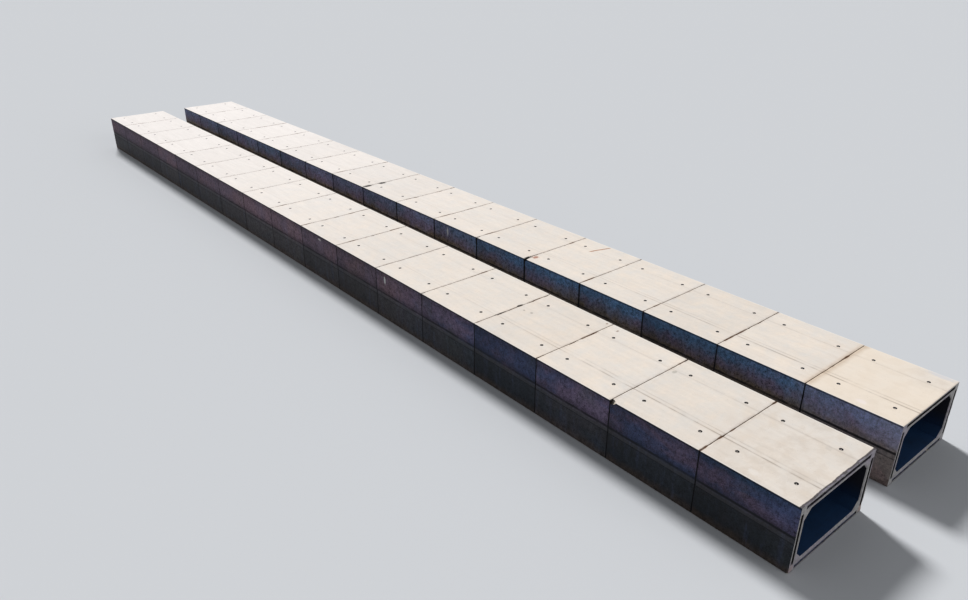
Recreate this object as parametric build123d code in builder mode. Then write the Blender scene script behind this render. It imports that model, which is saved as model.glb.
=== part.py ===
from build123d import *
import os

# Twin box culvert of precast concrete sections, modelled at half of its real size.
# Two runs of rectangular barrels lie side by side on a level bed, with a gap between them.
# +X runs across the barrels, +Y along them from the near ends, and +Z is up.
# The origin is on the bed, in the middle of the whole culvert.

# One barrel, seen from its end: a rectangular opening with cut corners, in walls of even thickness.
barrel_span = 1219.2
barrel_rise = 609.6
wall_thickness = 101.6
slab_thickness = 101.6
haunch_width = 101.6
haunch_height = 101.6

# The layout of the two runs.
sections_per_run = 17
section_pitch = 1219.2
end_section_length = 1143.0
run_gap = 609.6

# The steel form is made of corner panels with filler panels between them,
# and each filler leaves a strip that lies a little below the face beside it.
roof_left_panel = 393.7
roof_right_panel = 330.2
side_corner_panel = 368.3
filler_step = 3.0

# The joint: a tapered tongue on one section enters the tapered groove of the one before it,
# and a strip of sealant is pressed between them all the way round.
joint_gap = 6.0
tongue_length = 50.8
tongue_root_thickness = 47.0
tongue_draft = 6.0
sealant_thickness = 4.0
sealant_width = 14.0
sealant_setback = 9.0

# The keyways in the open ends of a run, which take the concrete of an end wall.
keyway_lip = 19.05
keyway_width = 44.45
keyway_depth = 25.4
keyway_draft_angle = 10.0
keyway_corner_margin = 93.0

# The lifting pockets in the roof, four to a section.
pocket_radius = 23.5
pocket_depth = 23.5
pocket_draft_angle = 22.0
pocket_sides = 10
pocket_edge_distance = 285.75
pocket_near_distance = 203.2
pocket_far_distance = 254.0
pocket_end_distance = 228.6

# In each run, one roof corner is knocked off beside a joint. For each break: the number of its
# section, its length along the run, its width across the roof and its height down the side.
# It has two facets, a flat one of full length and width, and a shorter one of full height.
corner_breaks = {"left_run": (2, 95.0, 45.0, 50.0), "right_run": (5, 45.0, 95.0, 45.0)}
flat_facet_share = 0.6
steep_facet_share = 0.7

# The gap that is broken through a keyway's outer lip.
lip_gap_width = 62.0
lip_gap_depth = 20.0
lip_gap_height = 30.0
lip_gap_narrowing = 8.0
lip_gap_from_middle = 304.0
run_with_broken_lip = "right_run"

outer_width = barrel_span + 2 * wall_thickness
outer_height = barrel_rise + 2 * slab_thickness
run_length = (sections_per_run - 2) * section_pitch + 2 * end_section_length
near_end_y = -run_length / 2
far_end_y = run_length / 2
run_middle_x = (run_gap + outer_width) / 2
overshoot = 10.0

os.makedirs("parts", exist_ok=True)


def plane_to_far_end(middle_x, y):
    """The upright plane across a run at y. Its normal points to the far end, and its y is up."""
    return Plane(origin=(middle_x, y, 0), x_dir=(-1, 0, 0), z_dir=(0, 1, 0))


def plane_to_near_end(middle_x, y):
    """The same plane with its normal turned to the near end."""
    return Plane(origin=(middle_x, y, 0), x_dir=(1, 0, 0), z_dir=(0, -1, 0))


def draw_outside(middle_x, y):
    """The outer outline of a section, with the filler strips set back in its roof and sides."""
    half = outer_width / 2
    side_strip_height = outer_height - 2 * side_corner_panel
    roof_strip_width = outer_width - roof_left_panel - roof_right_panel
    roof_strip_shift = (roof_left_panel - roof_right_panel) / 2
    with BuildSketch(plane_to_near_end(middle_x, y)) as outside:
        with Locations((0, outer_height / 2)):
            Rectangle(outer_width, outer_height)
        with Locations((-half, outer_height / 2), (half, outer_height / 2)):
            Rectangle(2 * filler_step, side_strip_height, mode=Mode.SUBTRACT)
        with Locations((roof_strip_shift, outer_height)):
            Rectangle(roof_strip_width, 2 * filler_step, mode=Mode.SUBTRACT)
    return outside.sketch


def draw_barrel(plane):
    """The opening: a rectangle whose corners are cut off by the haunches."""
    half = barrel_span / 2
    ceiling = slab_thickness + barrel_rise
    right_side = [
        (half - haunch_width, slab_thickness),
        (half, slab_thickness + haunch_height),
        (half, ceiling - haunch_height),
        (half - haunch_width, ceiling),
    ]
    left_side = [(-x, z) for x, z in reversed(right_side)]
    with BuildSketch(plane) as barrel:
        with BuildLine():
            Polyline(*right_side, *left_side, close=True)
        make_face()
    return barrel.sketch


def joint_block(middle_x, root_y, start, stop, clearance, mode):
    """The tapered block inside the joint face, between two distances from the tongue's root."""
    outlines = []
    for distance in (start, stop):
        reach = tongue_root_thickness - tongue_draft * distance / tongue_length + clearance
        with BuildSketch(plane_to_far_end(middle_x, root_y - distance)) as outline:
            with Locations((0, outer_height / 2)):
                Rectangle(barrel_span + 2 * reach, barrel_rise + 2 * reach)
        outlines.append(outline.sketch)
    loft(outlines, mode=mode)


def cut_keyways(face):
    """Four tapered slots in an open end, one in each wall, which stop short of the corners."""
    middle_z = outer_height / 2
    slot_x = outer_width / 2 - keyway_lip - keyway_width / 2
    slot_z = outer_height / 2 - keyway_lip - keyway_width / 2
    with BuildSketch(face) as slots:
        with Locations((-slot_x, middle_z), (slot_x, middle_z)):
            Rectangle(keyway_width, outer_height - 2 * keyway_corner_margin)
        with Locations((0, middle_z - slot_z), (0, middle_z + slot_z)):
            Rectangle(outer_width - 2 * keyway_corner_margin, keyway_width)
    extrude(slots.sketch, amount=-keyway_depth, taper=keyway_draft_angle, mode=Mode.SUBTRACT)


def cut_lifting_pockets(middle_x, rows):
    """Two tapered pockets in each row across the roof."""
    offset = outer_width / 2 - pocket_edge_distance
    places = [(middle_x + side * offset, y) for y in rows for side in (-1, 1)]
    with BuildSketch(Plane.XY.offset(outer_height)) as mouths:
        with Locations(*places):
            RegularPolygon(pocket_radius, pocket_sides)
    extrude(mouths.sketch, amount=-pocket_depth, taper=pocket_draft_angle, mode=Mode.SUBTRACT)


def break_roof_corner(corner, length, width, height):
    """Knock off the left roof corner at a section's far face, as two rough facets."""
    flat_facet = (length, width, height * flat_facet_share)
    steep_facet = (length * steep_facet_share, width * steep_facet_share, height)
    for along, across, down in (flat_facet, steep_facet):
        on_edge = corner - Vector(0, along, 0)
        on_face = corner + Vector(across, 0, 0)
        on_side = corner - Vector(0, 0, down)
        normal = (on_face - on_edge).cross(on_side - on_edge)
        split(bisect_by=Plane(origin=on_edge, z_dir=normal), keep=Keep.BOTTOM)


def break_keyway_lip(face):
    """Break a gap through the outer lip of the floor's keyway, narrower towards the slot."""
    left = lip_gap_from_middle - lip_gap_width / 2
    right = lip_gap_from_middle + lip_gap_width / 2
    with BuildSketch(face) as gap:
        with BuildLine():
            Polyline(
                (left, -overshoot),
                (right, -overshoot),
                (right, 0),
                (right - lip_gap_narrowing, lip_gap_height),
                (left + lip_gap_narrowing, lip_gap_height),
                (left, 0),
                close=True,
            )
        make_face()
    extrude(gap.sketch, amount=-lip_gap_depth, mode=Mode.SUBTRACT)


def seam_y(number):
    """The middle of the joint at the far end of a section."""
    return near_end_y + end_section_length + (number - 1) * section_pitch


def build_section(run, middle_x, number):
    """One precast section where it lies in its run. Number 1 is at the near end."""
    is_first = number == 1
    is_last = number == sections_per_run
    start = near_end_y if is_first else seam_y(number - 1) + joint_gap / 2
    stop = far_end_y if is_last else seam_y(number) - joint_gap / 2
    near_row = seam_y(number - 1) + pocket_near_distance
    far_row = seam_y(number) - pocket_far_distance
    if is_first:
        near_row = near_end_y + pocket_end_distance
    if is_last:
        near_row = seam_y(number - 1) + pocket_far_distance
        far_row = far_end_y - pocket_end_distance

    with BuildPart() as section:
        extrude(draw_outside(middle_x, stop), amount=stop - start)
        if not is_first:
            joint_block(middle_x, start, 0, tongue_length, 0, Mode.ADD)
        barrel = draw_barrel(plane_to_far_end(middle_x, start - tongue_length - overshoot))
        extrude(barrel, amount=stop - start + tongue_length + 2 * overshoot, mode=Mode.SUBTRACT)
        if not is_last:
            groove_stop = tongue_length + joint_gap
            joint_block(middle_x, stop + joint_gap, 0, groove_stop, sealant_thickness, Mode.SUBTRACT)
        if is_first:
            cut_keyways(plane_to_near_end(middle_x, start))
        if is_last:
            cut_keyways(plane_to_far_end(middle_x, stop))
        if is_first and run == run_with_broken_lip:
            break_keyway_lip(plane_to_near_end(middle_x, start))
        cut_lifting_pockets(middle_x, (near_row, far_row))
        broken_section, *break_size = corner_breaks[run]
        if number == broken_section:
            break_roof_corner(Vector(middle_x - outer_width / 2, stop, outer_height), *break_size)
    return section


def build_joint_seals(middle_x):
    """The sealant strips of one run, each pressed between a tongue and its groove."""
    sealant_stop = sealant_setback + sealant_width
    with BuildPart() as seals:
        for number in range(1, sections_per_run):
            root_y = seam_y(number) + joint_gap / 2
            joint_block(middle_x, root_y, sealant_setback, sealant_stop, sealant_thickness, Mode.ADD)
            joint_block(middle_x, root_y, sealant_setback, sealant_stop, 0, Mode.SUBTRACT)
    return seals


for run, middle_x in (("left_run", -run_middle_x), ("right_run", run_middle_x)):
    for number in range(1, sections_per_run + 1):
        section = build_section(run, middle_x, number)
        section.part.label = f"{run}_section_{number:02d}"
        export_step(section.part, f"parts/{section.part.label}.step")
    seals = build_joint_seals(middle_x)
    seals.part.label = f"{run}_joint_seals"
    export_step(seals.part, f"parts/{seals.part.label}.step")
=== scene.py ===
import math

import bmesh
import bpy
import numpy as np
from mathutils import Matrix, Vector, noise
from mathutils.bvhtree import BVHTree


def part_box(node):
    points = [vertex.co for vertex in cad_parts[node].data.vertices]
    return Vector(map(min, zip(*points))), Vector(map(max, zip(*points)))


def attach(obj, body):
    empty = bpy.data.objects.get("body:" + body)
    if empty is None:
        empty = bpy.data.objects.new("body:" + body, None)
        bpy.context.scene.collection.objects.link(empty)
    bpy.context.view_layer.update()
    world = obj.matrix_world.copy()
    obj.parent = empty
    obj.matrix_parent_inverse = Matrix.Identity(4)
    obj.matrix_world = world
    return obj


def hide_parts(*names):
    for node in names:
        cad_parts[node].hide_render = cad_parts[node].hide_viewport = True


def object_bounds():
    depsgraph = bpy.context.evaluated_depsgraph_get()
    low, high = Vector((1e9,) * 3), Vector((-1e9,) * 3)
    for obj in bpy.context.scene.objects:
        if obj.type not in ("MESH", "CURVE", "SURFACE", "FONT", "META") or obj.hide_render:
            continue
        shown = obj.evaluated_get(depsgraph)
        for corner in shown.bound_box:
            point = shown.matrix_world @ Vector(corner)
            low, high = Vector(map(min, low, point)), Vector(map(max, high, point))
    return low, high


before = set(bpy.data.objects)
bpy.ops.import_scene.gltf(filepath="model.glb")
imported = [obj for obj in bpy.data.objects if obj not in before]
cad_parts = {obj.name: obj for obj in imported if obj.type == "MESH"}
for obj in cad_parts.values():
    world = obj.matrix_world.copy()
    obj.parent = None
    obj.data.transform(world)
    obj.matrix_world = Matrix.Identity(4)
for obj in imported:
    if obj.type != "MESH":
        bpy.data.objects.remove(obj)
cad_low, cad_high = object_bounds()


# Precast box sections: their sizes
# Each section is one casting of concrete, poured on end in a steel form of corner panels with filler
# panels between them. The tongue of each one lies in the groove of the section before it.
section_count = sum(1 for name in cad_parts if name.startswith("left_run_section_"))
section_pitch = 1.2192
wall_thickness = 0.1016
haunch = 0.1016
roof_left_panel = 0.3937
roof_narrow_panel = 0.0635
roof_right_panel = 0.3302
side_corner_panel = 0.3683
filler_step = 0.003
joint_gap = 0.006
tongue_length = 0.0508
tongue_root_thickness = 0.047
tongue_draft = 0.006
sealant_thickness = 0.004

middle_low, middle_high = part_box("left_run_section_05")
outer_width = middle_high.x - middle_low.x
outer_height = middle_high.z
near_end = cad_low.y
half_width, half_height = outer_width / 2, outer_height / 2
barrel_half_width = half_width - wall_thickness
barrel_half_height = half_height - wall_thickness
run_middle = -(middle_low.x + middle_high.x) / 2
run_middles = {"left_run": -run_middle, "right_run": run_middle}
roof_strip = (roof_left_panel - half_width, half_width - roof_right_panel)
narrow_line = roof_strip[0] + roof_narrow_panel
side_strip = (side_corner_panel - half_height, half_height - side_corner_panel)


# Precast concrete
# Warm, pale and dry on the roofs. The walls are darker, blue-grey and purple, and mottled, partly as the
# release oil and the rain have left them and partly as painted shade and sky light, and the barrels darker
# still, with painted shade. Dirt lies in the joints.
class Wire:
    """One socket of a node tree. Sums with wires and numbers add the Math nodes that they stand for."""

    def __init__(self, tree, socket=None):
        self.tree = tree
        self.socket = socket

    def node(self, kind, settings, values, output=0):
        """Add a node: its settings first, then the numbers, colours or wires of its sockets."""
        made = self.tree.nodes.new(kind)
        for name, value in settings.items():
            setattr(made, name, value)
        for key, value in values.items():
            if isinstance(value, Wire):
                self.tree.links.new(value.socket, made.inputs[key])
            else:
                made.inputs[key].default_value = value
        return Wire(self.tree, made.outputs[output])

    def math(self, operation, *others):
        return self.node("ShaderNodeMath", {"operation": operation}, dict(enumerate((self, *others))))

    def __add__(self, other):
        return self.math("ADD", other)

    def __sub__(self, other):
        return self.math("SUBTRACT", other)

    def __rsub__(self, other):
        return (self * -1.0).math("ADD", other)

    def __mul__(self, other):
        return self.math("MULTIPLY", other)

    def __truediv__(self, other):
        return self.math("DIVIDE", other)

    __radd__ = __add__
    __rmul__ = __mul__

    def __abs__(self):
        return self.math("ABSOLUTE")

    def ease(self, start, stop):
        """0 before start, 1 after stop, and smooth between. start may be the higher one."""
        if start > stop:
            return 1 - self.ease(stop, start)
        settings = {"interpolation_type": "SMOOTHSTEP"}
        return self.node("ShaderNodeMapRange", settings, {0: self, 1: start, 2: stop})

    def noise(self, scale, detail=3.0, roughness=0.55, distortion=0.0):
        """Cloudy noise from 0 to 1, read at these coordinates."""
        values = {"Vector": self, "Scale": scale, "Detail": detail, "Roughness": roughness}
        return self.node("ShaderNodeTexNoise", {}, {**values, "Distortion": distortion})

    def stretched(self, x, y, z):
        """These coordinates, times a number for each axis."""
        return self.node("ShaderNodeVectorMath", {"operation": "MULTIPLY"}, {0: self, 1: (x, y, z)})

    def parts(self):
        """The x, y and z of this vector, each as a wire."""
        return [self.node("ShaderNodeSeparateXYZ", {}, {0: self}, axis) for axis in "XYZ"]

    def colour(self, share, other):
        """This colour, mixed with another one by a share."""
        return self.node("ShaderNodeMix", {"data_type": "RGBA"}, {0: share, 6: self, 7: other}, 2)

    def between(self, first, second):
        """The first colour where this share is 0, the second one where it is 1."""
        return self.node("ShaderNodeMix", {"data_type": "RGBA"}, {0: self, 6: first, 7: second}, 2)

    def dimmed(self, amount):
        """This colour, times a number."""
        return self.node("ShaderNodeVectorMath", {"operation": "SCALE"}, {0: self, 3: amount})


def paint(red, green, blue):
    """A colour given as a screen shows it, from 0 to 255."""
    shares = [c / 255 for c in (red, green, blue)]
    return (*(c / 12.92 if c <= 0.04045 else ((c + 0.055) / 1.055) ** 2.4 for c in shares), 1.0)


def new_material(name, roughness, specular):
    """A new material, its shader, and a wire that adds nodes to its tree."""
    material = bpy.data.materials.new(name)
    material.use_nodes = True
    shader = material.node_tree.nodes["Principled BSDF"]
    shader.inputs["Roughness"].default_value = roughness
    shader.inputs["Specular IOR Level"].default_value = specular
    return material, shader, Wire(material.node_tree)


concrete, shader, wire = new_material("precast_concrete", 0.85, 0.25)
tree = concrete.node_tree

# Places are in metres: y is -10.29 at the near ends and -9.14 at the first joint, z 0.81 at the roof.
place = wire.node("ShaderNodeTexCoord", {}, {}, "Object")
normal = wire.node("ShaderNodeNewGeometry", {}, {}, "Normal")
x, y, z = place.parts()
_, normal_y, normal_z = normal.parts()
side = x.math("SIGN")
across = x - side * run_middle
is_right_run = side.ease(-0.5, 0.5)
section_seed = 92.0
section_number = (y / section_pitch + 0.5).math("FLOOR")
far_part = (y / section_pitch + 0.5).math("FRACT")
from_seam = abs((y / section_pitch).math("FRACT") - 0.5) * section_pitch
section_key = wire.node("ShaderNodeCombineXYZ", {}, {0: section_number, 1: side, 2: section_seed})
tone = wire.node("ShaderNodeTexWhiteNoise", {"noise_dimensions": "3D"}, {"Vector": section_key}) - 0.5
faces_up = normal_z.ease(0.45, 0.75)
is_roof = faces_up * z.ease(outer_height - 0.10, outer_height - 0.04)
is_end = abs(normal_y).ease(0.45, 0.68)
in_barrel = wire.node("ShaderNodeAttribute", {"attribute_name": "barrel"}, {}, "Fac")
in_recess = wire.node("ShaderNodeAttribute", {"attribute_name": "recess"}, {}, "Fac")
is_broken = wire.node("ShaderNodeAttribute", {"attribute_name": "broken"}, {}, "Fac")

# Noise, from coarse to fine, and streaks along the runs and down the walls.
cloud = place.noise(1.3, 3.0)
blotch = place.noise(5.0, 5.0, 0.6, 0.3)
mottle = place.noise(24.0, 5.0, 0.65)
speckle = place.noise(70.0, 3.0, 0.6)
grain = place.noise(240.0, 3.0, 0.6)
smear = place.stretched(7.0, 0.9, 7.0).noise(2.0, 4.0, 0.6)
runs_down = place.stretched(1.0, 9.0, 0.9).noise(1.6, 4.0, 0.6)
tint = place.stretched(0.6, 0.6, 1.0).noise(2.3, 4.0, 0.6, 0.5)

# The roof: pale, with soft smears along its length, and thin dark lines where the panels met.
roof_share = (blotch - 0.5) * 1.6 + (cloud - 0.5) * 1.2 + 0.5
roof = roof_share.between(paint(221, 215, 208), paint(234, 220, 205))
far_share = y.ease(-7.0, 8.0)
roof = roof.colour(far_share, paint(240, 233, 228))
first_share = y.ease(-8.6, -9.6)
roof_light = 1 + tone * 0.05 + (smear - 0.5) * 0.20 + (mottle - 0.5) * 0.16 + (grain - 0.5) * 0.12
roof = roof.dimmed(roof_light - first_share * (blotch.ease(0.40, 0.62) * 0.10 + (mottle - 0.5) * 0.25))
warm_share = is_right_run * y.ease(-9.05, -9.25) * (1 - across.ease(0.1, 0.6) * y.ease(-9.6, -10.1) * 0.8)
roof = roof.colour(warm_share * 0.55, paint(242, 226, 206))
seam_tan = is_right_run * (from_seam + (blotch - 0.5) * 0.12).ease(0.10, 0.0) * y.ease(-9.0, -9.2)
roof = roof.colour(seam_tan * 0.5, paint(190, 160, 124))
# A pale line along the long roof edges, broken by blotches: painted highlight.
painted_edge_highlight = abs(across).ease(half_width - 0.020, half_width - 0.004) * blotch.ease(0.30, 0.55)
roof = roof.colour(painted_edge_highlight * 0.6, paint(246, 241, 236))
wander = (place.stretched(0.0, 1.0, 0.0).noise(2.0, 3.0) - 0.5) * 0.006
faded = place.stretched(1.0, 2.2, 1.0).noise(2.0, 3.0).ease(0.30, 0.62)
line_share = 0
for line_place, line_width, line_strength in (
    (roof_strip[0], 0.0060, 0.60),
    (narrow_line, 0.0050, 0.26),
    (roof_strip[1], 0.0060, 0.11),
):
    line = abs(across + wander - line_place).ease(line_width * 1.6, line_width * 0.5)
    soft_line = abs(across + wander - line_place).ease(0.034, 0.0) * 0.40
    line_share = (line * 0.8 + soft_line) * line_strength * (faded * 0.85 + 0.15) + line_share
line_share = line_share * (1 - y.ease(-9.2, -4.0) * 0.80)
roof = roof.colour(line_share, paint(118, 98, 80))

# The walls of the left run: dark blue and purple clouds, streaked downwards, each section its own, and
# greener and plainer below the upper line of the filler strip. Their darkness and blue are partly painted
# shade and sky light.
near_share = y.ease(-8.8, -9.3)
left_hue = (tint * 1.6 - 0.3 + tone * 0.30).ease(0.34, 0.66)
left_wall = left_hue.between(paint(74, 84, 118), paint(104, 92, 116))
left_wall = left_wall.colour(cloud.ease(0.50, 0.70) * 0.5, paint(84, 88, 92))
left_wall = left_wall.colour(y.ease(-4.5, -3.3) * 0.55, paint(132, 106, 108))
# Painted sky light: teal-blue along the top of the near sections.
left_wall = left_wall.colour(z.ease(0.70, 0.78) * y.ease(-8.8, -9.6) * 0.6, paint(56, 92, 128))
left_low = (z + (blotch - 0.5) * 0.06).ease(0.46, 0.39)
left_wall = left_wall.colour(left_low * 0.75, paint(74, 80, 80))
left_wall = left_wall.dimmed(1.03 + tone * 0.6 - far_part.ease(0.45, 1.0) * (1 - far_share) * 0.22)
# Painted shade: the upper wall lighter across its middle and darker towards the roof, and the wall below
# the line darker still, most at the near sections.
left_band = (z + (blotch - 0.5) * 0.08).ease(0.77, 0.69) * z.ease(0.46, 0.58)
low_painted_shade = 0.42 + near_share * 0.14 - y.ease(-7.0, -3.5) * 0.20
low_painted_shade = low_painted_shade - y.ease(near_end + 0.4, near_end) * 0.22
left_wall = left_wall.dimmed(0.94 + left_band * 0.38 - left_low * low_painted_shade)

# The walls of the right run: bluer and lighter to the top, which is painted sky light, and brown towards
# the bed, which is painted light reflected from the ground. The near section is painted lighter too.
right_wall = tint.ease(0.36, 0.64).between(paint(130, 134, 154), paint(148, 134, 158))
outer_side = across.ease(0.0, 0.1)
painted_sky_light_top = (z + (blotch - 0.5) * 0.30).ease(0.56, 0.74) * (1 - cloud.ease(0.52, 0.72) * 0.5)
painted_sky_light_top = painted_sky_light_top * (0.85 - outer_side * 0.70) * (1 - near_share * 0.55)
painted_sky_light_top = painted_sky_light_top * (1 - y.ease(-4.5, -1.0) * 0.6)
right_wall = right_wall.colour(painted_sky_light_top, paint(104, 150, 194))
painted_ground_light_low = (z + (blotch - 0.5) * 0.25).ease(0.60, 0.43)
painted_ground_light_low = painted_ground_light_low * (0.90 - outer_side * 0.45 - near_share * 0.30)
right_wall = right_wall.colour(painted_ground_light_low, paint(136, 116, 86))
right_light = 1.04 + tone * 0.35 * (1 - near_share) + near_share * 0.72 + y.ease(-4.5, -1.0) * 0.22
right_wall = right_wall.colour(outer_side * 0.5, paint(128, 124, 122))
right_wall = right_wall.dimmed(right_light - far_part.ease(0.35, 1.0) * (1 - near_share) * 0.24)

wall = left_wall.colour(is_right_run, right_wall)
# Painted light on the upper walls beside the open ends.
open_end_share = y.ease(near_end + 0.45, near_end + 0.12) * z.ease(0.45, 0.60)
painted_open_end_light = is_right_run.between(paint(96, 110, 158), paint(196, 184, 212))
wall = wall.colour(open_end_share * 0.45, painted_open_end_light)
wall = wall.colour(runs_down.ease(0.52, 0.72) * 0.35, paint(74, 82, 108))
bed_share = (z + (blotch - 0.5) * 0.16).ease(0.14, 0.0)
wall = wall.colour(bed_share * 0.45, paint(104, 86, 72))
wall_light = 1 + ((mottle - 0.5) * 3.0 + (speckle - 0.5) * 2.4) * (1 - near_share * is_right_run * 0.35)
wall_light = wall_light + (blotch - 0.5) * 0.8 + (runs_down - 0.5) * 0.6
# A dark band just under the roof edge: painted shade.
wall_light = wall_light * (1 - z.ease(outer_height - 0.031, outer_height - 0.018) * 0.70)
wall = wall.dimmed(wall_light)

# Thin dark lines at both edges of the filler strip, and a paler band between them. The upper line is a form
# line widened and darkened with painted shadow under the step, and on the left run the wall just above it
# gets a soft painted shade.
level = z - half_height + (place.stretched(0.0, 1.0, 0.0).noise(3.0, 4.0) - 0.5) * 0.020
upper_line = abs(level - side_strip[1]).ease(0.024, 0.009)
lower_line = abs(level - side_strip[0]).ease(0.010, 0.003)
band = (level - side_strip[0]).ease(0.0, 0.01) * (level - side_strip[1]).ease(0.0, -0.01)
wall = wall.colour(band * 0.22, paint(124, 122, 128))
line_faded = (faded * 0.6 + 0.4).math("MAXIMUM", y.ease(-8.8, -9.3))
line_shade = (level - side_strip[1]).ease(0.10, 0.0) * (level - side_strip[1]).ease(-0.010, 0.0)
wall = wall.dimmed(1 - line_shade * (1 - is_right_run) * (1 - y.ease(near_end + 0.3, near_end)) * 0.30)
wall = wall.colour(upper_line * 0.92 * line_faded, paint(16, 18, 24))
wall = wall.colour(lower_line * 0.60 * (faded * 0.6 + 0.4), paint(42, 44, 50))
wall = wall.dimmed(1 - faces_up * 0.5)

# The ends and joint faces: trowelled and rubbed, so pale and patchy.
end_light = 1 + (mottle - 0.5) * 1.5 + (blotch - 0.5) * 0.5 + (grain - 0.5) * 0.5
end = blotch.ease(0.42, 0.60).between(paint(186, 184, 184), paint(172, 166, 176))
end = end.dimmed(end_light - z.ease(0.030, 0.015) * 0.28)

# The barrels: formed smooth, and greyer inside. In the near ends they are painted dark, as shade, and blue,
# bluest on their floors, as sky light.
barrel = z.ease(0.44, 0.12).between(paint(34, 35, 45), paint(24, 56, 94))
barrel = barrel.colour(y.ease(-8.6, -5.0), paint(92, 92, 96))
barrel = barrel.dimmed(1 + (blotch - 0.5) * 0.9 + (runs_down - 0.5) * 0.5 + (mottle - 0.5) * 0.5)

skin = wall.colour(is_end, end).colour(is_roof, roof).colour(in_barrel, barrel)

# Keyways: in the roof and floor their backs are blotched and painted pale, as painted light, and at the
# near ends the floor one is painted bluer and darker, as shade. All else in them is dark with dirt and
# painted shade, which starts a little way in. Lifting pockets: nearly black, painted shade.
from_open_end = abs(abs(y) + near_end)
is_level_keyway = abs(z - half_height).ease(0.318, 0.330)
keyway_dirt_and_shade = place.noise(34.0, 4.0, 0.7).ease(0.44, 0.62)
keyway_blotch = place.noise(16.0, 4.0, 0.65).ease(0.47, 0.57)
keyway_back = keyway_blotch.between(paint(204, 200, 208), paint(66, 66, 78))
keyway_painted_shade = z.ease(0.5, 0.3) * y.ease(0.0, -1.0)
keyway_back = keyway_back.colour(keyway_painted_shade * 0.75, paint(70, 80, 112))
recess = keyway_dirt_and_shade.between(paint(44, 38, 32), paint(24, 24, 24))
recess = recess.colour(is_level_keyway * is_end, keyway_back)
floor_back = (from_open_end + (mottle - 0.5) * 0.010).ease(0.005, 0.010) * faces_up * z.ease(0.3, 0.2)
recess = recess.colour(floor_back * 0.9, keyway_back)
recess = end.colour((from_open_end + (mottle - 0.5) * 0.004).ease(0.001, 0.004), recess)
# Painted shade: the pockets nearly black.
in_pocket = z.ease(0.765, 0.775)
skin = skin.colour(in_recess, recess.colour(in_pocket, paint(22, 20, 20)))

# The near roof edge of the left run is painted violet-grey and blotched, as shade, darkest along the inner
# rim of the band.
from_edge = from_open_end + (blotch - 0.5) * 0.030 + (mottle - 0.5) * 0.020
painted_shade_edge = from_edge.ease(0.030, 0.024) * is_roof * (1 - is_right_run) * y.ease(0.0, -1.0)
edge_painted_shade = keyway_blotch.between(paint(136, 130, 148), paint(52, 48, 60))
edge_painted_shade = edge_painted_shade.colour(from_edge.ease(0.004, 0.012) * 0.90, paint(34, 28, 38))
skin = skin.colour(painted_shade_edge * 0.9, edge_painted_shade)

# Breaks: pale mortar with darker stones in it, and black where they are deep, at a joint, which is painted
# shade.
stones = place.node("ShaderNodeTexVoronoi", {}, {"Vector": place, "Scale": 75.0})
break_colour = stones.ease(0.30, 0.18).between(paint(212, 202, 186), paint(150, 138, 124))
break_colour = break_colour.dimmed(1 + (mottle - 0.5) * 0.8)
deep_break_shade = (from_seam + (mottle - 0.5) * 0.020).ease(0.056, 0.046)
skin = skin.colour(is_broken, break_colour.colour(deep_break_shade * 0.95, paint(24, 22, 22)))

# Dirt in the joints, and a faint brown bloom beside them. The joint faces are brown with dirt near the roof
# and nearly black below it, which is painted shade.
edge_noise = place.noise(11.0, 4.0, 0.65)
wide_part = place.noise(2.6, 2.0).ease(0.52, 0.64)
inner_far_share = is_right_run * y.ease(-8.5, -4.0) * (1 - outer_side)
wall_part = (1 - is_roof) * (0.004 + inner_far_share * 0.010)
joint_line = (from_seam - wall_part - wide_part * is_roof * 0.009).ease(0.0080, 0.0040)
joint_face = is_end * from_seam.ease(0.066, 0.058) * (1 - in_barrel)
bloom = (from_seam + (edge_noise - 0.5) * 0.09).ease(0.060, 0.004) * edge_noise.ease(0.42, 0.66)
joint_dirt = is_roof.between(paint(24, 24, 30), paint(104, 74, 54))
full_part = wide_part.math("MAXIMUM", 1 - is_roof)
joint_line = joint_line * (0.45 + edge_noise.ease(0.35, 0.60) * 0.30 + full_part * 0.25)
joint_line = joint_line * (1 - y.ease(-4.0, 5.0) * (1 - wide_part) * is_roof * 0.65)
skin = skin.colour((1 - in_barrel) * joint_line.math("MAXIMUM", bloom * 0.30), joint_dirt)
dusty_face = z.ease(0.74, 0.79) * abs(across).ease(half_width - 0.04, half_width - 0.07)
joint_face_dirt_and_shade = dusty_face.between(paint(34, 32, 34), paint(124, 90, 62))
skin = skin.colour(joint_face, joint_face_dirt_and_shade)

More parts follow.
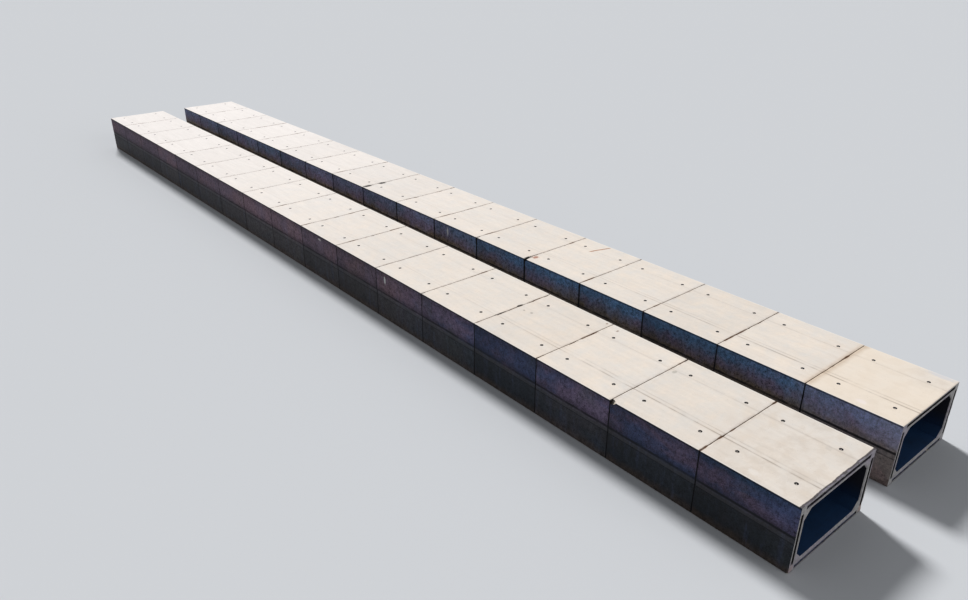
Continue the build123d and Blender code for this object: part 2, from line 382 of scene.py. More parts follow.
# Marks that single places carry. Each has its middle, its half sizes, its colour and how strongly it
# covers. First come rust drips, mortar smears and pale patches on the left run's roofs.
marks = (
    ((-0.36, -6.64, 0.81), (0.022, 0.022, 0.02), paint(120, 84, 60), 0.75),
    ((-0.41, -6.87, 0.81), (0.030, 0.020, 0.02), paint(128, 92, 66), 0.65),
    ((-0.92, -5.75, 0.81), (0.030, 0.026, 0.02), paint(140, 132, 122), 0.55),
    ((-0.94, -5.62, 0.81), (0.020, 0.024, 0.02), paint(132, 124, 114), 0.55),
    ((-0.67, -9.97, 0.81), (0.050, 0.045, 0.02), paint(176, 168, 158), 0.25),
    ((-0.67, -8.00, 0.81), (0.040, 0.035, 0.02), paint(158, 154, 142), 0.50),
    # Rubbed corners of the near roofs, and a bluish painted shade on the right run's near right corner.
    ((-1.61, -9.70, 0.81), (0.055, 0.080, 0.02), paint(244, 240, 236), 0.35),
    ((0.43, -9.75, 0.81), (0.050, 0.075, 0.02), paint(244, 234, 236), 0.35),
    ((1.69, -10.10, 0.81), (0.060, 0.190, 0.05), paint(204, 208, 218), 0.50),
    # Dirt at the left run's fourth joint, and at the right run's ninth and fifth, with rust there.
    ((-0.895, -5.475, 0.81), (0.075, 0.026, 0.02), paint(40, 30, 24), 0.95),
    ((-1.26, -5.486, 0.81), (0.150, 0.020, 0.02), paint(46, 35, 28), 0.90),
    ((0.42, 0.60, 0.81), (0.120, 0.065, 0.02), paint(34, 26, 22), 1.00),
    ((0.76, 0.59, 0.81), (0.100, 0.060, 0.02), paint(34, 26, 22), 1.00),
    ((0.37, -4.27, 0.80), (0.105, 0.045, 0.05), paint(30, 24, 22), 1.00),
    ((0.48, -4.34, 0.81), (0.065, 0.055, 0.02), paint(160, 96, 70), 0.80),
    # Chalk dashes on the walls.
    ((0.305, -2.23, 0.68), (0.02, 0.026, 0.085), paint(255, 255, 255), 1.00),
    ((-1.727, -3.29, 0.68), (0.02, 0.026, 0.080), paint(255, 255, 255), 1.00),
    ((-1.727, -1.26, 0.74), (0.02, 0.060, 0.022), paint(240, 236, 236), 0.90),
    # Splashes at the feet of the left run's open end.
    ((-0.33, -10.287, 0.06), (0.060, 0.03, 0.055), paint(176, 140, 124), 0.55),
    ((-1.69, -10.287, 0.05), (0.045, 0.03, 0.050), paint(190, 164, 156), 0.50),
)
ragged = (place.noise(38.0, 3.0, 0.6) - 0.5) * 1.3
for mark_middle, half_sizes, mark_colour, strength in marks:
    offset = wire.node("ShaderNodeVectorMath", {"operation": "SUBTRACT"}, {0: place, 1: mark_middle})
    scaled = offset.stretched(*(1 / size for size in half_sizes))
    distance = wire.node("ShaderNodeVectorMath", {"operation": "LENGTH"}, {0: scaled}, "Value") + ragged
    skin = skin.colour(distance.ease(1.15, 0.45) * strength, mark_colour)

# One long rust streak across the fifth roof of the right run.
streak_y = y + 4.78 + (x - 1.5) * 0.33
streak = abs(streak_y).ease(0.020, 0.008) * abs(x - 1.51).ease(0.21, 0.15) * is_roof
skin = skin.colour(streak * edge_noise.ease(0.25, 0.45), paint(166, 108, 72))

# Bug holes, the small round voids that trapped air leaves against the form.
hole_cells = {"Vector": place, "Scale": 42.0}
hole_distance = wire.node("ShaderNodeTexVoronoi", {}, hole_cells)
hole_choice = wire.node("ShaderNodeTexVoronoi", {}, hole_cells, "Color").parts()[0].ease(0.70, 0.72)
hole = hole_distance.ease(0.11, 0.07) * hole_choice
skin = skin.dimmed(1 - hole * 0.45)

tree.links.new(skin.socket, shader.inputs["Base Color"])
gloss = 0.86 - (1 - is_roof) * 0.10 + (mottle - 0.5) * 0.20
tree.links.new(gloss.socket, shader.inputs["Roughness"])
height = (grain - 0.5) * 0.0006 + (mottle - 0.5) * 0.0012 - hole * 0.0016
height = height + stones.ease(0.35, 0.0) * is_broken * 0.004
bump = wire.node("ShaderNodeBump", {}, {"Strength": 0.8, "Distance": 1.0, "Height": height})
tree.links.new(bump.socket, shader.inputs["Normal"])


# Shape of a section
# The outside is flat with a filler strip set back 3 mm in its roof and sides, and its edges are
# worn. Rings of points run round it: along the outside, round the far end, back inside, and round
# the near end. A joint has its groove at the far end of a section and its tongue at the near end.
end_arris = 0.004
long_arris = 0.005
joint_arris = 0.003
barrel_corner = 0.004
mouth_chamfer = 0.0095
point_spacing = 0.020
crisp_step = 0.0008
soft_step = 0.0052
closest_stop = 0.008
arc_steps = (1 / 3, 2 / 3)
worn_band = 0.024
sound_start = 0.060
rub_height = 0.0014
chip_height = 0.050
crumb_height = 0.016
deepest_wear = 0.020
outside_rows = 7
barrel_rows = 6
corner_pull_power = 8
smooth_angle = math.radians(32)
BOTTOM, RIGHT, TOP, LEFT = range(4)
TURNS = {
    BOTTOM: ((1, 0), (0, -1)),
    RIGHT: ((0, 1), (1, 0)),
    TOP: ((-1, 0), (0, 1)),
    LEFT: ((0, -1), (-1, 0)),
}
STRIPS = {BOTTOM: None, RIGHT: side_strip, TOP: (-roof_strip[1], -roof_strip[0]), LEFT: side_strip}
flat_barrel_width = barrel_half_width - haunch / 2 - barrel_corner
flat_barrel_height = barrel_half_height - haunch / 2 - barrel_corner


def side_stops(side):
    """Places along one side, from -1 to 1: evenly spaced, and at its filler strip and haunches."""
    level_side = side in (BOTTOM, TOP)
    flat = (half_width if level_side else half_height) - long_arris
    flat_barrel = flat_barrel_width if level_side else flat_barrel_height
    haunch_start = (barrel_half_width if level_side else barrel_half_height) - haunch
    marks = [-haunch_start / flat_barrel, haunch_start / flat_barrel]
    if STRIPS[side]:
        for edge, ramp in zip(STRIPS[side], (soft_step if side == TOP else crisp_step, crisp_step)):
            marks += [(edge - ramp) / flat, (edge + ramp) / flat]
    even = np.linspace(-1.0, 1.0, 2 * round(flat / point_spacing) + 1)
    kept = [t for t in even if np.min(np.abs(np.array(marks) - t)) > closest_stop]
    return sorted([*kept, *marks])


places = []
for side_of_box in (BOTTOM, RIGHT, TOP, LEFT):
    places += [(side_of_box, t, None) for t in side_stops(side_of_box)]
    places += [(side_of_box, 1.0, step) for step in arc_steps]


def outside_ring(y_at, insets):
    """The outer outline, drawn in by its insets, with rounded long edges and set-back filler strips."""
    points = []
    for (side_of_box, t, step), inset in zip(places, insets):
        (ax, az), (nx, nz) = TURNS[side_of_box]
        full_flat = (half_width if ax else half_height) - long_arris
        out = (half_height if ax else half_width) - inset
        strip = STRIPS[side_of_box]
        if step is None:
            along = t * full_flat
            out -= filler_step if strip and strip[0] < along < strip[1] else 0.0
            along *= 1 - inset / full_flat * abs(t) ** corner_pull_power
        else:
            angle = step * math.pi / 2
            along = full_flat - inset + long_arris * math.sin(angle)
            out += long_arris * (math.cos(angle) - 1)
        points.append((ax * along + nx * out, y_at, az * along + nz * out))
    return np.array(points)


def joint_ring(y_at, reach):
    """A rounded rectangle that lies reach outside the barrel's walls."""
    points = []
    for side_of_box, t, step in places:
        (ax, az), (nx, nz) = TURNS[side_of_box]
        along_half = (barrel_half_width if ax else barrel_half_height) + reach
        out = (barrel_half_height if ax else barrel_half_width) + reach
        along = t * (along_half - joint_arris)
        if step is not None:
            angle = step * math.pi / 2
            along = along_half + joint_arris * (math.sin(angle) - 1)
            out += joint_arris * (math.cos(angle) - 1)
        points.append((ax * along + nx * out, y_at, az * along + nz * out))
    return np.array(points)


def barrel_ring(y_at, outset):
    """The opening with its four haunches, set outwards by outset."""
    points = []
    for side_of_box, t, step in places:
        (ax, az), (nx, nz) = TURNS[side_of_box]
        flat = flat_barrel_width if ax else flat_barrel_height
        haunch_start = (barrel_half_width if ax else barrel_half_height) - haunch
        along = t * flat if step is None else flat + 2 * barrel_corner * step
        out = (barrel_half_height if ax else barrel_half_width) - max(0.0, abs(along) - haunch_start)
        along *= 1 + outset / flat
        out += outset
        points.append((ax * along + nx * out, y_at, az * along + nz * out))
    return np.array(points)


def joint_reach(distance, clearance):
    """How far the tapered joint face lies outside the barrel, at a distance from the tongue's root."""
    return tongue_root_thickness - tongue_draft * distance / tongue_length + clearance


def worn_arris(face_y, middle_x):
    """How far the edge of one end is worn back at each place: a little everywhere, more in chips."""
    worn = []
    for px, _, pz in outside_ring(face_y, np.zeros(len(places))):
        spot = Vector((px + middle_x, face_y * 3.7, pz))
        rub = noise.noise(spot * 23.0) * rub_height
        chip = max(0.0, noise.noise(spot * 9.0) - 0.30) * chip_height
        crumb = max(0.0, noise.noise(spot * 31.0) - 0.42) * crumb_height
        worn.append(min(end_arris + rub + chip + crumb, deepest_wear))
    return np.array(worn)


def section_rings(start, stop, has_tongue, has_groove, middle_x):
    """The rings of one section, between the faces of its outer shell at start and stop."""
    sound = np.zeros(len(places))
    near, far = worn_arris(start, middle_x), worn_arris(stop, middle_x)
    rings = []
    for worn, face_y, inward in ((near, start, 1), (far, stop, -1)):
        face_rings = []
        for depth_share, inset_share in ((0.0, 1.0), (0.3, 0.3), (1.0, 0.0)):
            ring = outside_ring(face_y, worn * inset_share)
            ring[:, 1] += inward * worn * depth_share
            face_rings.append(ring)
        face_rings += [outside_ring(face_y + inward * reach, sound) for reach in (worn_band, sound_start)]
        rings.append(face_rings if inward > 0 else face_rings[::-1])
    rows = np.linspace(start + sound_start, stop - sound_start, outside_rows)[1:-1]
    rings = rings[0] + [outside_ring(y_at, sound) for y_at in rows] + rings[1]
    barrel_stop = stop
    if has_groove:
        depth = tongue_length + joint_gap
        lip = joint_reach(joint_gap, sealant_thickness)
        root = joint_reach(depth, sealant_thickness)
        barrel_stop = stop + joint_gap - depth
        rings += [joint_ring(stop, lip + joint_arris), joint_ring(stop - joint_arris, lip)]
        rings += [joint_ring(barrel_stop, root)]
    arris = joint_arris if has_groove else mouth_chamfer
    rings += [barrel_ring(barrel_stop, arris), barrel_ring(barrel_stop - arris, 0.0)]
    barrel_start = start - tongue_length if has_tongue else start
    rows = np.linspace(barrel_stop, barrel_start, barrel_rows)[1:-1]
    rings += [barrel_ring(y_at, 0.0) for y_at in rows]
    arris = joint_arris if has_tongue else mouth_chamfer
    rings += [barrel_ring(barrel_start + arris, 0.0), barrel_ring(barrel_start, arris)]
    if has_tongue:
        tip = joint_reach(tongue_length, 0.0)
        rings += [joint_ring(barrel_start, tip - joint_arris), joint_ring(barrel_start + joint_arris, tip)]
        rings += [joint_ring(start, joint_reach(0.0, 0.0))]
    return rings


def closed_mesh(name, corners, faces):
    """A mesh whose faces are turned to point outwards."""
    mesh = bpy.data.meshes.new(name)
    mesh.from_pydata(corners.tolist(), [], faces)
    turned = bmesh.new()
    turned.from_mesh(mesh)
    bmesh.ops.recalc_face_normals(turned, faces=turned.faces)
    turned.to_mesh(mesh)
    turned.free()
    return mesh


def mesh_from_rings(name, middle_x, rings):
    """A closed mesh from rings of equally many points, the last one joined to the first."""
    count = len(places)
    corners = np.concatenate(rings) + (middle_x, 0.0, half_height)
    faces = []
    for row in range(len(rings)):
        here, there = row * count, (row + 1) % len(rings) * count
        for i in range(count):
            after = (i + 1) % count
            faces.append((here + i, here + after, there + after, there + i))
    return closed_mesh(name, corners, faces)


def in_scene(name, mesh):
    """Put a mesh into the scene as an object."""
    made = bpy.data.objects.new(name, mesh)
    bpy.context.scene.collection.objects.link(made)
    return made


# Lifting pockets
# Four round cups in each roof, left by the rubber formers that held the lifting anchors while the
# concrete was poured. One node tree cuts all four into the section that it is given.
pocket_radius = 0.0235
pocket_depth = 0.0235
pocket_edge_distance = 0.28575
pocket_spread = outer_width - 2 * pocket_edge_distance
pocket_near_distance = 0.2032
pocket_far_distance = 0.254
pocket_end_distance = 0.2286
lowest_pocket_face = 0.77
highest_pocket_face = 0.8093


def node_group(name, sockets):
    """A geometry tree, a wire that adds its nodes, and its named inputs as wires."""
    group = bpy.data.node_groups.new(name, "GeometryNodeTree")
    group.interface.new_socket("Geometry", in_out="INPUT", socket_type="NodeSocketGeometry")
    for socket_name, kind in sockets:
        group.interface.new_socket(socket_name, in_out="INPUT", socket_type=kind)
    group.interface.new_socket("Geometry", in_out="OUTPUT", socket_type="NodeSocketGeometry")
    entry = group.nodes.new("NodeGroupInput")
    start = Wire(group)
    given = {socket.name: Wire(group, socket) for socket in entry.outputs if socket.name}
    return group, start, given


def end_group(group, geometry):
    """Lead the finished geometry out of the tree."""
    leave = group.nodes.new("NodeGroupOutput")
    group.links.new(geometry.socket, leave.inputs[0])


def run_group(target, group, values):
    """Put the tree on an object, and return the plain mesh that it makes."""
    modifier = target.modifiers.new(group.name, "NODES")
    modifier.node_group = group
    for item in group.interface.items_tree:
        if item.in_out == "INPUT" and item.name in values:
            modifier[item.identifier] = values[item.name]
    bpy.context.view_layer.update()
    evaluated = target.evaluated_get(bpy.context.evaluated_depsgraph_get())
    mesh = bpy.data.meshes.new_from_object(evaluated)
    target.modifiers.clear()
    return mesh


FLOAT, VECTOR, MATERIAL = "NodeSocketFloat", "NodeSocketVector", "NodeSocketMaterial"
pockets, start, given = node_group("cast_lifting_pockets", (
    ("Spread", FLOAT), ("Row Distance", FLOAT), ("Middle", VECTOR),
    ("Mouth Radius", FLOAT), ("Depth", FLOAT), ("Material", MATERIAL),
))
cup_radius = (given["Mouth Radius"] * given["Mouth Radius"] / given["Depth"] + given["Depth"]) * 0.5
grid = start.node("GeometryNodeMeshGrid", {}, {"Size X": given["Spread"], "Size Y": given["Row Distance"],
                                               "Vertices X": 2, "Vertices Y": 2})
sunk = start.node("ShaderNodeCombineXYZ", {}, {2: cup_radius - given["Depth"]})
centre = start.node("ShaderNodeVectorMath", {"operation": "ADD"}, {0: given["Middle"], 1: sunk})
grid = start.node("GeometryNodeTransform", {}, {"Geometry": grid, "Translation": centre})
cup = start.node("GeometryNodeMeshUVSphere", {}, {"Segments": 24, "Rings": 14, "Radius": cup_radius})
cups = start.node("GeometryNodeInstanceOnPoints", {}, {"Points": grid, "Instance": cup})
cups = start.node("GeometryNodeRealizeInstances", {}, {"Geometry": cups})
cut = start.node("GeometryNodeMeshBoolean", {"operation": "DIFFERENCE", "solver": "MANIFOLD"},
                 {"Mesh 1": given["Geometry"], "Mesh 2": cups})
cut = start.node("GeometryNodeSetMaterial", {}, {"Geometry": cut, "Material": given["Material"]})
end_group(pockets, cut)


def pocket_rows(number, face_start, face_stop):
    """The y of the two rows of pockets in a section."""
    seam_start, seam_stop = face_start - joint_gap / 2, face_stop + joint_gap / 2
    near_row, far_row = seam_start + pocket_near_distance, seam_stop - pocket_far_distance
    if number == 1:
        near_row = face_start + pocket_end_distance
    if number == section_count:
        near_row, far_row = seam_start + pocket_far_distance, face_stop - pocket_end_distance
    return near_row, far_row


# Keyways and breaks
# Tapered slots in the open ends, whose sides and floors are as rough as the timber and foam that
# formed them. Two roof corners and one foot are knocked off, and one keyway has a gap in its outer lip.
# A break has the number of its section and its sizes across, along and down.
keyway_lip = 0.01905
keyway_width = 0.04445
keyway_depth = 0.0254
keyway_taper = math.tan(math.radians(10.0))
keyway_corner_margin = 0.093
keyway_grain = 0.010
slot_shake = 0.0022
fine_slot_shake = 0.0008
slot_back_shake = 0.0025
slot_lump = 0.022
cutter_overshoot = 0.010
cut_margin = 0.001
cut_tolerance = 0.00008
haunch_tolerance = 0.0015
corner_breaks = {"left_run": (2, (0.045, 0.095, 0.050)), "right_run": (5, (0.095, 0.045, 0.045))}
lip_gap_place = 0.304
lip_gap_width = 0.062
lip_gap_depth = 0.020
lip_gap_height = 0.030
lip_gap_narrowing = 0.18
lip_gap_shake = 0.005
foot_break = (0.022, 0.018, 0.020)


def block_mesh(name, low, high, steps, reshape):
    """A closed block from low to high, divided into triangles, each point then moved by reshape."""
    axes = [np.linspace(a, b, count + 1) for a, b, count in zip(low, high, steps)]
    numbers, corners, faces = {}, [], []

    def corner_number(key):
        if key not in numbers:
            numbers[key] = len(corners)
            corners.append(reshape(*(axes[axis][key[axis]] for axis in range(3))))
        return numbers[key]

    for axis in range(3):
        first, second = (axis + 1) % 3, (axis + 2) % 3
        for level_number in (0, steps[axis]):
            for i in range(steps[first]):
                for j in range(steps[second]):
                    keys = []
                    for di, dj in ((0, 0), (1, 0), (1, 1), (0, 1)):
                        key = [0, 0, 0]
                        key[axis], key[first], key[second] = level_number, i + di, j + dj
                        keys.append(corner_number(tuple(key)))
                    faces += [keys[:3], [keys[0], *keys[2:]]]
    return closed_mesh(name, np.array(corners), faces)


def keyway_cutters(face_y, inward, middle_x):
    """Four rough slots, one in each wall of an open end. inward is the way into the concrete."""
    cutters = []
    for side_of_box in (BOTTOM, RIGHT, TOP, LEFT):
        (ax, az), (nx, nz) = TURNS[side_of_box]
        out_middle = (half_height if ax else half_width) - keyway_lip - keyway_width / 2
        long_half = (half_width if ax else half_height) - keyway_corner_margin

        def slot_point(along, out, depth):
            narrowed = max(depth, 0.0) * keyway_taper
            spot = Vector((along * 1.3, out + side_of_box, face_y + depth)) * 17.0
            shake = noise.noise(spot) * slot_shake + noise.noise(spot * 3.1) * fine_slot_shake
            along_at = along - math.copysign(narrowed, along)
            out_at = out * (1 - narrowed / (keyway_width / 2)) + shake
            lump = max(0.0, noise.noise(spot * 0.9) - 0.20) * slot_lump if ax else 0.0
            deep = depth + (noise.noise(spot * 1.7) * slot_back_shake - lump) * (depth > keyway_depth * 0.9)
            out_at += out_middle
            return (middle_x + ax * along_at + nx * out_at, face_y + inward * deep,
                    half_height + az * along_at + nz * out_at)

        low = (-long_half, -keyway_width / 2, -cutter_overshoot)
        high = (long_half, keyway_width / 2, keyway_depth)
        steps = (round(2 * long_half / keyway_grain), 5, 4)
        cutters.append(block_mesh("keyway_cutter", low, high, steps, slot_point))
    return cutters


def knock(name, middle, radii, outwards, lean, roughness_height):
    """A rough ball that knocks a corner off. It leans outwards from the concrete, so that it cuts flat."""
    ball = bmesh.new()
    bmesh.ops.create_icosphere(ball, subdivisions=6, radius=1.0)
    reach = math.sqrt((1 + lean) ** 2 + 2 * lean ** 2)
    for vertex in ball.verts:
        spot = vertex.co * 2.6 + Vector(middle) * 7.0
        rough = noise.noise(spot) * 1.0 + noise.noise(spot * 3.3) * 0.45 + noise.noise(spot * 8.0) * 0.2
        size = reach + rough * roughness_height
        vertex.co = [m + r * (s * size + way * lean) for m, r, s, way in
                     zip(middle, radii, vertex.co, outwards)]
    mesh = bpy.data.meshes.new(name)
    ball.to_mesh(mesh)
    ball.free()
    return mesh


def lip_gap_point(px, py, pz):
    """A point of the block that breaks the keyway's lip, moved to make the break rough."""
    spot = Vector((px, py, pz)) * 60.0
    shake = noise.noise(spot) * lip_gap_shake
    spread = 1 - lip_gap_narrowing * (pz > 0.01)
    middle = run_middles["right_run"] + lip_gap_place
    return (middle + (px - middle) * spread + shake, py + noise.noise(spot * 1.7) * 0.004, pz + shake)


def section_cutters(run, number, middle_x, face_start, face_stop):
    """What is cut out of one section, apart from its pockets, with the attribute that the cut gets."""
    cutters = []
    if number == 1:
        cutters += [("recess", mesh) for mesh in keyway_cutters(face_start, 1, middle_x)]
    if number == section_count:
        cutters += [("recess", mesh) for mesh in keyway_cutters(face_stop, -1, middle_x)]
    broken_section, break_size = corner_breaks[run]
    if number == broken_section:
        corner = (middle_x - half_width, face_stop, outer_height)
        ball = knock("corner_break", corner, break_size, (-1, 1, 1), lean=0.9, roughness_height=0.09)
        cutters.append(("broken", ball))
    if (run, number) == ("right_run", 1):
        left, right = (middle_x + lip_gap_place + way * lip_gap_width / 2 for way in (-1, 1))
        low = (left, face_start - cutter_overshoot, -cutter_overshoot)
        high = (right, face_start + lip_gap_depth, lip_gap_height)
        cutters.append(("broken", block_mesh("lip_gap", low, high, (12, 8, 9), lip_gap_point)))
    if (run, number) == ("left_run", 1):
        corner = (middle_x - half_width, face_start, 0.0)
        ball = knock("foot_break", corner, foot_break, (-1, -1, -1), lean=0.7, roughness_height=0.12)
        cutters.append(("broken", ball))
    return cutters


def mark_faces(mesh, middle_x, rows, cutters):
    """Say which faces lie in the barrel, in a pocket or keyway, or in a break, for the material."""
    centres = np.zeros(len(mesh.polygons) * 3)
    mesh.polygons.foreach_get("center", centres)
    centres = centres.reshape(-1, 3)
    across_at = np.abs(centres[:, 0] - middle_x)
    up_at = np.abs(centres[:, 2] - half_height)
    diagonal = barrel_half_width + barrel_half_height - haunch
    found = {"recess": np.zeros(len(centres)), "broken": np.zeros(len(centres))}
    found["barrel"] = across_at < barrel_half_width + cut_margin
    found["barrel"] &= up_at < barrel_half_height + cut_margin
    found["barrel"] &= across_at + up_at < diagonal + haunch_tolerance
    for row in rows:
        for offset in (-pocket_spread / 2, pocket_spread / 2):
            away = np.hypot(centres[:, 0] - middle_x - offset, centres[:, 1] - row)
            deep = (centres[:, 2] > lowest_pocket_face) & (centres[:, 2] < highest_pocket_face)
            found["recess"][(away < pocket_radius) & deep] = 1
    for kind, cutter in cutters:
        tree_of_cutter = bmesh.new()
        tree_of_cutter.from_mesh(cutter)
        surface = BVHTree.FromBMesh(tree_of_cutter)
        low = np.min([v.co for v in cutter.vertices], axis=0) - cut_margin
        high = np.max([v.co for v in cutter.vertices], axis=0) + cut_margin
        near = np.nonzero(np.all((centres > low) & (centres < high), axis=1))[0]
        for face in near:
            if surface.find_nearest(Vector(centres[face]), cut_tolerance)[0]:
                found[kind][face] = 1
        tree_of_cutter.free()
    for name, values in found.items():
        attribute = mesh.attributes.new(name, "FLOAT", "FACE")
        attribute.data.foreach_set("value", np.asarray(values, dtype=np.float32))


pocket_floors = {run: [] for run in run_middles}
for run, middle_x in run_middles.items():
    for number in range(1, section_count + 1):
        node = f"{run}_section_{number:02d}"
        low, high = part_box(node)
        has_tongue, has_groove = number > 1, number < section_count
        face_start = low.y + (tongue_length if has_tongue else 0.0)
        rings = section_rings(face_start, high.y, has_tongue, has_groove, middle_x)
        shell = in_scene(f"{node}_shell", mesh_from_rings(node, middle_x, rings))
        rows = pocket_rows(number, face_start, high.y)
        pocket_floors[run] += [(middle_x + offset, row, outer_height - pocket_depth) for row in rows
                               for offset in (-pocket_spread / 2, pocket_spread / 2)]
        cutters = section_cutters(run, number, middle_x, face_start, high.y)
        tools = [in_scene("cutter", mesh) for _, mesh in cutters]
        for tool in tools:
            modifier = shell.modifiers.new("cut", "BOOLEAN")
            modifier.operation = "DIFFERENCE"
            modifier.solver = "MANIFOLD"
            modifier.object = tool
        values = {"Spread": pocket_spread, "Row Distance": rows[1] - rows[0], "Mouth Radius": pocket_radius,
                  "Middle": (middle_x, (rows[0] + rows[1]) / 2, outer_height), "Depth": pocket_depth,
                  "Material": concrete}
        mesh = run_group(shell, pockets, values)
        mark_faces(mesh, middle_x, rows, cutters)
        for tool in (shell, *tools):
            bpy.data.objects.remove(tool)
        mesh.shade_smooth()
        mesh.set_sharp_from_angle(angle=smooth_angle)
        piece = in_scene(f"{node}_casting", mesh)
        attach(piece, "root")
        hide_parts(node)


# Lifting anchors
# A forged steel anchor stands in each pocket, its foot cast into the roof and its round head just below the
# surface. The heads are dull with cement dust and a little rust, and beyond the near sections they are
# painted much darker, as shade in the pockets.
anchor_head_radius = 0.0095
anchor_head_height = 0.006
anchor_shaft_radius = 0.005
anchor_shaft_height = 0.013
anchor_tilt = math.radians(4)
anchor_foot_depth = 0.002
anchor_crown_share = 0.72
anchor_head_seat = 0.0005

steel, shader, wire = new_material("dusty_anchor_steel", 0.6, 0.5)
place = wire.node("ShaderNodeTexCoord", {}, {}, "Object")
rust = place.noise(130.0, 4.0, 0.65).ease(0.50, 0.64)
cement = place.noise(55.0, 4.0, 0.6).ease(0.40, 0.58)
metal = (rust * 0.6).between(paint(168, 164, 158), paint(140, 102, 76))
metal = metal.colour(cement * 0.8, paint(222, 213, 202))
along = place.node("ShaderNodeSeparateXYZ", {}, {0: place}, "Y")
# Painted shade: darker beyond the near sections.
metal = metal.dimmed(1 - along.ease(-9.0, -6.5) * 0.85)
steel.node_tree.links.new(metal.socket, shader.inputs["Base Color"])
steel.node_tree.links.new(((1 - cement) * (1 - rust) * 0.8).socket, shader.inputs["Metallic"])
pitted = wire.node("ShaderNodeBump", {}, {"Distance": 0.0004, "Height": place.noise(300.0, 3.0)})
steel.node_tree.links.new(pitted.socket, shader.inputs["Normal"])

anchors, start, given = node_group("set_lifting_anchors", (
    ("Head Radius", FLOAT), ("Head Height", FLOAT), ("Shaft Radius", FLOAT), ("Shaft Height", FLOAT),
    ("Tilt", FLOAT), ("Seed", "NodeSocketInt"), ("Material", MATERIAL),
))
shaft = start.node("GeometryNodeMeshCylinder", {}, {"Vertices": 8, "Radius": given["Shaft Radius"],
                                                    "Depth": given["Shaft Height"]})
half_shaft = start.node("ShaderNodeCombineXYZ", {}, {2: given["Shaft Height"] * 0.5})
shaft = start.node("GeometryNodeTransform", {}, {"Geometry": shaft, "Translation": half_shaft})
head = start.node("GeometryNodeMeshCone", {}, {"Vertices": 14, "Radius Bottom": given["Head Radius"],
                                               "Radius Top": given["Head Radius"] * anchor_crown_share,
                                               "Depth": given["Head Height"]})
top = start.node("ShaderNodeCombineXYZ", {}, {2: given["Shaft Height"] - anchor_head_seat})
head = start.node("GeometryNodeTransform", {}, {"Geometry": head, "Translation": top})
anchor = start.node("GeometryNodeJoinGeometry", {}, {"Geometry": shaft})
anchors.links.new(head.socket, anchor.socket.node.inputs[0])
leaning_back = given["Tilt"] * -1.0
least = start.node("ShaderNodeCombineXYZ", {}, {0: leaning_back, 1: leaning_back, 2: -math.pi})
most = start.node("ShaderNodeCombineXYZ", {}, {0: given["Tilt"], 1: given["Tilt"], 2: math.pi})
turn = start.node("FunctionNodeRandomValue", {"data_type": "FLOAT_VECTOR"},
                  {0: least, 1: most, "Seed": given["Seed"]})
set_anchors = start.node("GeometryNodeInstanceOnPoints", {},
                         {"Points": given["Geometry"], "Instance": anchor, "Rotation": turn})
set_anchors = start.node("GeometryNodeRealizeInstances", {}, {"Geometry": set_anchors})
set_anchors = start.node("GeometryNodeSetMaterial", {},
                         {"Geometry": set_anchors, "Material": given["Material"]})
end_group(anchors, set_anchors)

for seed, (run, floors) in enumerate(pocket_floors.items()):
    feet_mesh = bpy.data.meshes.new("anchor_feet")
    feet_mesh.from_pydata([(px, py, pz - anchor_foot_depth) for px, py, pz in floors], [], [])
    holder = in_scene("anchor_feet", feet_mesh)
    sizes = {"Head Radius": anchor_head_radius, "Head Height": anchor_head_height, "Tilt": anchor_tilt,
             "Shaft Radius": anchor_shaft_radius, "Shaft Height": anchor_shaft_height, "Seed": seed,
             "Material": steel}
    mesh = run_group(holder, anchors, sizes)
    bpy.data.objects.remove(holder)
    mesh.shade_smooth()
    mesh.set_sharp_from_angle(angle=smooth_angle)
    piece = in_scene(f"{run}_lifting_anchors", mesh)
    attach(piece, "root")


# Joint seals
# Black butyl rope, pressed flat between each tongue and its groove. It has picked up dust.
butyl, shader, wire = new_material("butyl_sealant", 0.55, 0.4)
place = wire.node("ShaderNodeTexCoord", {}, {}, "Object")
dust = place.noise(60.0, 4.0, 0.6).ease(0.50, 0.68)
black = (dust * 0.5).between(paint(26, 25, 26), paint(98, 86, 74))
butyl.node_tree.links.new(black.socket, shader.inputs["Base Color"])
lumps = wire.node("ShaderNodeBump", {}, {"Distance": 0.001, "Height": place.noise(90.0, 3.0)})
butyl.node_tree.links.new(lumps.socket, shader.inputs["Normal"])
for run in run_middles:
    for material_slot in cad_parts[f"{run}_joint_seals"].material_slots:
        material_slot.material = butyl


# Floor, light and camera
# A plain pale studio floor. One broad lamp stands high beyond the far ends, so that the roofs are
# bright and the near faces lie in soft shade, and a weak one in front lifts the open ends.
floor_reach = 400.0
floor_drop = 0.0005
floor_corners = []
for across_floor, along_floor in ((-1, -1), (1, -1), (1, 1), (-1, 1)):
    floor_corners.append((across_floor * floor_reach, along_floor * floor_reach, -floor_drop))
floor_mesh = bpy.data.meshes.new("floor")
floor_mesh.from_pydata(floor_corners, [], [(0, 1, 2, 3)])
floor = in_scene("floor", floor_mesh)


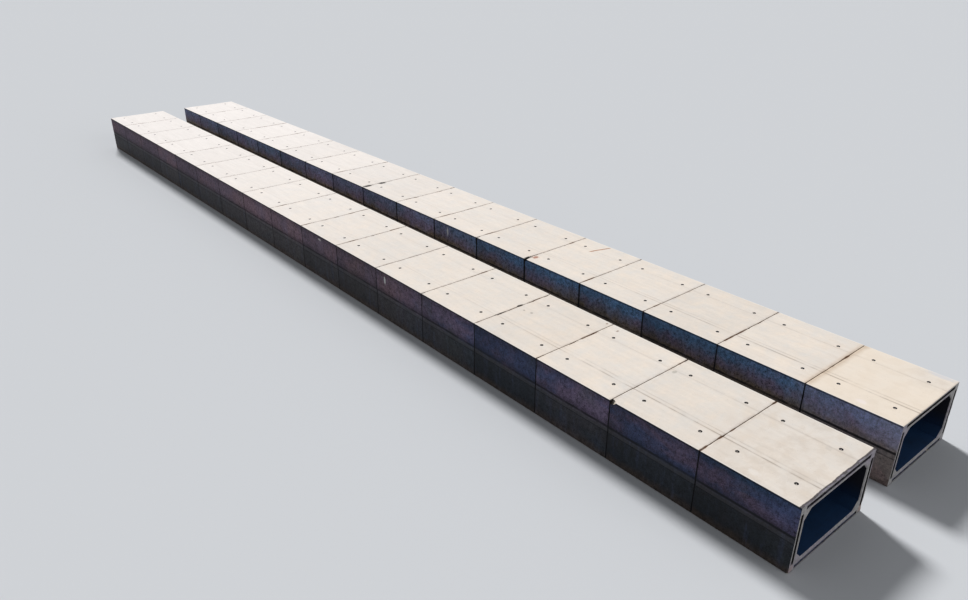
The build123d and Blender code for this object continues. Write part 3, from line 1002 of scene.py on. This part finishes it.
def seen_directly(wire):
    """1 for what the camera sees, also in a mirror or through glass, and 0 for what lights the scene."""
    share = wire.node("ShaderNodeLightPath", {}, {}, "Is Camera Ray")
    for kind in ("Is Glossy Ray", "Is Transmission Ray"):
        share = share.math("MAXIMUM", wire.node("ShaderNodeLightPath", {}, {}, kind))
    return share


floor_paint, shader, wire = new_material("floor_paint", 0.9, 0.0)
floor_colour = seen_directly(wire).between(paint(124, 124, 124), paint(206, 208, 211))
floor_paint.node_tree.links.new(floor_colour.socket, shader.inputs["Base Color"])
floor_mesh.materials.append(floor_paint)

world = bpy.data.worlds.new("studio")
bpy.context.scene.world = world
world.use_nodes = True
fill_strength = 0.26
seen_strength = 0.67
background = world.node_tree.nodes["Background"]
background.inputs["Color"].default_value = (0.93, 0.96, 1.0, 1.0)
strength = seen_directly(Wire(world.node_tree)) * (seen_strength - fill_strength) + fill_strength
world.node_tree.links.new(strength.socket, background.inputs["Strength"])


def add_sun(name, direction, energy, softness):
    """A broad, far lamp. direction points to it."""
    lamp = bpy.data.objects.new(name, bpy.data.lights.new(name, "SUN"))
    lamp.data.energy = energy
    lamp.data.angle = math.radians(softness)
    lamp.rotation_euler = Vector(direction).to_track_quat("Z", "Y").to_euler()
    bpy.context.scene.collection.objects.link(lamp)


add_sun("key_lamp", direction=(0.18, 0.72, 0.67), energy=3.4, softness=12)
add_sun("front_lamp", direction=(0.25, -1.0, 0.30), energy=0.55, softness=30)

# The camera stands where it stood for the photograph, in section widths from the left run's near
# left foot.
focal_pixels = 783.8
picture_pixels = 968
sensor_width = 36.0
camera_offset = (-4.1326, -1.7414, 4.0059)
yaw, pitch = math.radians(39.741), math.radians(25.87)
camera_data = bpy.data.cameras.new("camera")
camera_data.sensor_width = sensor_width
camera_data.lens = focal_pixels / picture_pixels * sensor_width
camera_data.clip_end = 1000.0
camera = bpy.data.objects.new("camera", camera_data)
corner = Vector((cad_low.x, cad_low.y, 0.0))
camera.location = corner + outer_width * Vector(camera_offset)
forward = Vector((math.sin(yaw) * math.cos(pitch), math.cos(yaw) * math.cos(pitch), -math.sin(pitch)))
camera.rotation_euler = forward.to_track_quat("-Z", "Y").to_euler()
bpy.context.scene.collection.objects.link(camera)
bpy.context.scene.camera = camera
bpy.context.scene.view_settings.view_transform = "Standard"
